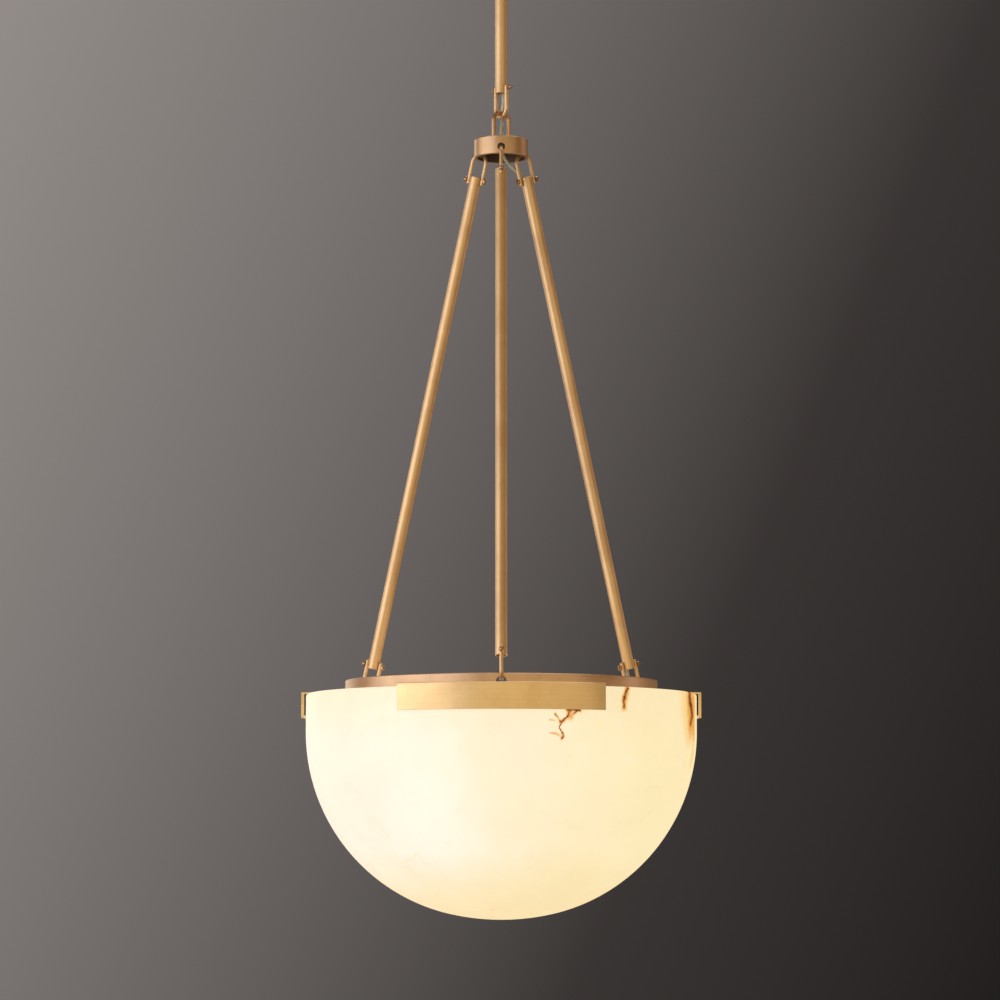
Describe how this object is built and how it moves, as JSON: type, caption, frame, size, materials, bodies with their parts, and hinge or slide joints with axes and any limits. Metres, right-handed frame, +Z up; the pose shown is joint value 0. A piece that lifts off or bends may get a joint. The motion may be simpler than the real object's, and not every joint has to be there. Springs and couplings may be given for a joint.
{
  "type": "pendant light",
  "caption": "Bowl pendant: an alabaster bowl on a brass ring, hung by sloping tubes from a hub that links to a stem and a ceiling canopy.",
  "frame": {"origin": "centre of the ceiling face, where the strap bears on the ceiling", "axes": "+Z up into the ceiling, the lamp hangs towards -Z; -Y faces the front arm"},
  "size_m": [0.4102, 0.4051, 1.0279],
  "materials": {
    "satin_brass": "satin",
    "brass_fasteners": "satin",
    "zinc_steel": "satin",
    "earth_green": "satin",
    "white_nylon": "matte",
    "black_rubber": "matte",
    "alabaster": "satin",
    "white_enamel": "satin",
    "porcelain": "gloss",
    "nickel_cap": "polished",
    "opal_glass": "satin",
    "clear_cable": "gloss"
  },
  "bodies": {
    "ceiling_mount": {"ceiling_strap": "zinc_steel", "threaded_nipple": "zinc_steel", "nipple_nut": "zinc_steel", "canopy_screws": "zinc_steel", "earth_screw": "earth_green", "terminal_block": "white_nylon", "stem": "satin_brass", "cable_stem": "clear_cable"},
    "canopy": {"canopy": "satin_brass", "canopy_cap_nuts": "satin_brass"},
    "shackle": {"shackle": "satin_brass", "shackle_pin": "brass_fasteners", "cable_shackle": "clear_cable"},
    "hub": {"hub_cap": "satin_brass", "hub_loop": "satin_brass", "hub_loop_nuts": "zinc_steel", "hub_grommet": "black_rubber", "upper_hook_front": "satin_brass", "upper_hook_left": "satin_brass", "upper_hook_right": "satin_brass", "upper_pins": "brass_fasteners", "cable_loop": "clear_cable", "cable_hub": "clear_cable"},
    "arm_front": {"arm_tube_front": "satin_brass"},
    "arm_left": {"arm_tube_left": "satin_brass"},
    "arm_right": {"arm_tube_right": "satin_brass", "cable_arm": "clear_cable"},
    "hook_front": {"lower_hook_front": "satin_brass", "lower_pin_front": "brass_fasteners"},
    "hook_left": {"lower_hook_left": "satin_brass", "lower_pin_left": "brass_fasteners"},
    "hook_right": {"lower_hook_right": "satin_brass", "lower_pin_right": "brass_fasteners"},
    "bowl_frame": {"support_ring": "satin_brass", "rim_bracket_front": "satin_brass", "rim_bracket_left": "satin_brass", "rim_bracket_right": "satin_brass", "bracket_screws": "zinc_steel", "bracket_pads": "black_rubber", "alabaster_bowl": "alabaster", "bowl_studs": "zinc_steel", "bowl_bushes": "black_rubber", "bowl_nuts": "zinc_steel", "lamp_spider": "white_enamel", "cluster_body": "white_enamel", "cluster_rod": "zinc_steel", "cluster_nuts": "zinc_steel", "cluster_connector": "white_nylon", "lampholder_1": "porcelain", "lampholder_2": "porcelain", "lampholder_3": "porcelain", "bulb_cap_1": "nickel_cap", "bulb_cap_2": "nickel_cap", "bulb_cap_3": "nickel_cap", "bulb_glass_1": "opal_glass", "bulb_glass_2": "opal_glass", "bulb_glass_3": "opal_glass", "lampholder_wires": "clear_cable", "cable_bowl": "clear_cable"}
  },
  "joints": [
    {"name": "canopy_slide", "type": "slide", "parent": "ceiling_mount", "child": "canopy", "axis": [0, 0, -1], "range_m": [0, 0.12]},
    {"name": "shackle_swing", "type": "hinge", "parent": "ceiling_mount", "child": "shackle", "pos_m": [0, 0, -0.1674], "axis": [0.5736, -0.8192, 0], "range_deg": [-45, 45], "deforming": ["cable_shackle"]},
    {"name": "loop_swing", "type": "hinge", "parent": "shackle", "child": "hub", "pos_m": [0, 0, -0.19195], "axis": [0.8192, 0.5736, 0], "range_deg": [-35, 35], "deforming": ["cable_loop"]},
    {"name": "bowl_twist", "type": "hinge", "parent": "hub", "child": "bowl_frame", "pos_m": [0, 0, -0.79872], "axis": [0, 0, 1], "range_deg": [-4, 4], "deforming": ["cable_bowl"]},
    {"name": "arm_front_swing", "type": "hinge", "parent": "hub", "child": "arm_front", "pos_m": [0, -0.0309, -0.26079], "axis": [0, -0.9714, 0.2376], "range_deg": [-1.22, 1.22]},
    {"name": "hook_front_swing", "type": "hinge", "parent": "arm_front", "child": "hook_front", "pos_m": [0, -0.1541, -0.76443], "axis": [0, -0.9714, 0.2376], "range_deg": [-1.22, 1.22]},
    {"name": "arm_left_swing", "type": "hinge", "parent": "hub", "child": "arm_left", "pos_m": [-0.02676, 0.01545, -0.26079], "axis": [-0.8412, 0.4857, 0.2376], "range_deg": [-1.22, 1.22]},
    {"name": "hook_left_swing", "type": "hinge", "parent": "arm_left", "child": "hook_left", "pos_m": [-0.13346, 0.07705, -0.76443], "axis": [-0.8412, 0.4857, 0.2376], "range_deg": [-1.22, 1.22]},
    {"name": "arm_right_swing", "type": "hinge", "parent": "hub", "child": "arm_right", "pos_m": [0.02676, 0.01545, -0.26079], "axis": [0.8412, 0.4857, 0.2376], "range_deg": [-1.22, 1.22], "deforming": ["cable_hub"]},
    {"name": "hook_right_swing", "type": "hinge", "parent": "arm_right", "child": "hook_right", "pos_m": [0.13346, 0.07705, -0.76443], "axis": [0.8412, 0.4857, 0.2376], "range_deg": [-1.22, 1.22]}
  ],
  "couplings": [
    {"joint": "arm_front_swing", "follows": "bowl_twist", "ratio": 0.30569},
    {"joint": "hook_front_swing", "follows": "bowl_twist", "ratio": -0.30569},
    {"joint": "arm_left_swing", "follows": "bowl_twist", "ratio": 0.30569},
    {"joint": "hook_left_swing", "follows": "bowl_twist", "ratio": -0.30569},
    {"joint": "arm_right_swing", "follows": "bowl_twist", "ratio": 0.30569},
    {"joint": "hook_right_swing", "follows": "bowl_twist", "ratio": -0.30569}
  ]
}
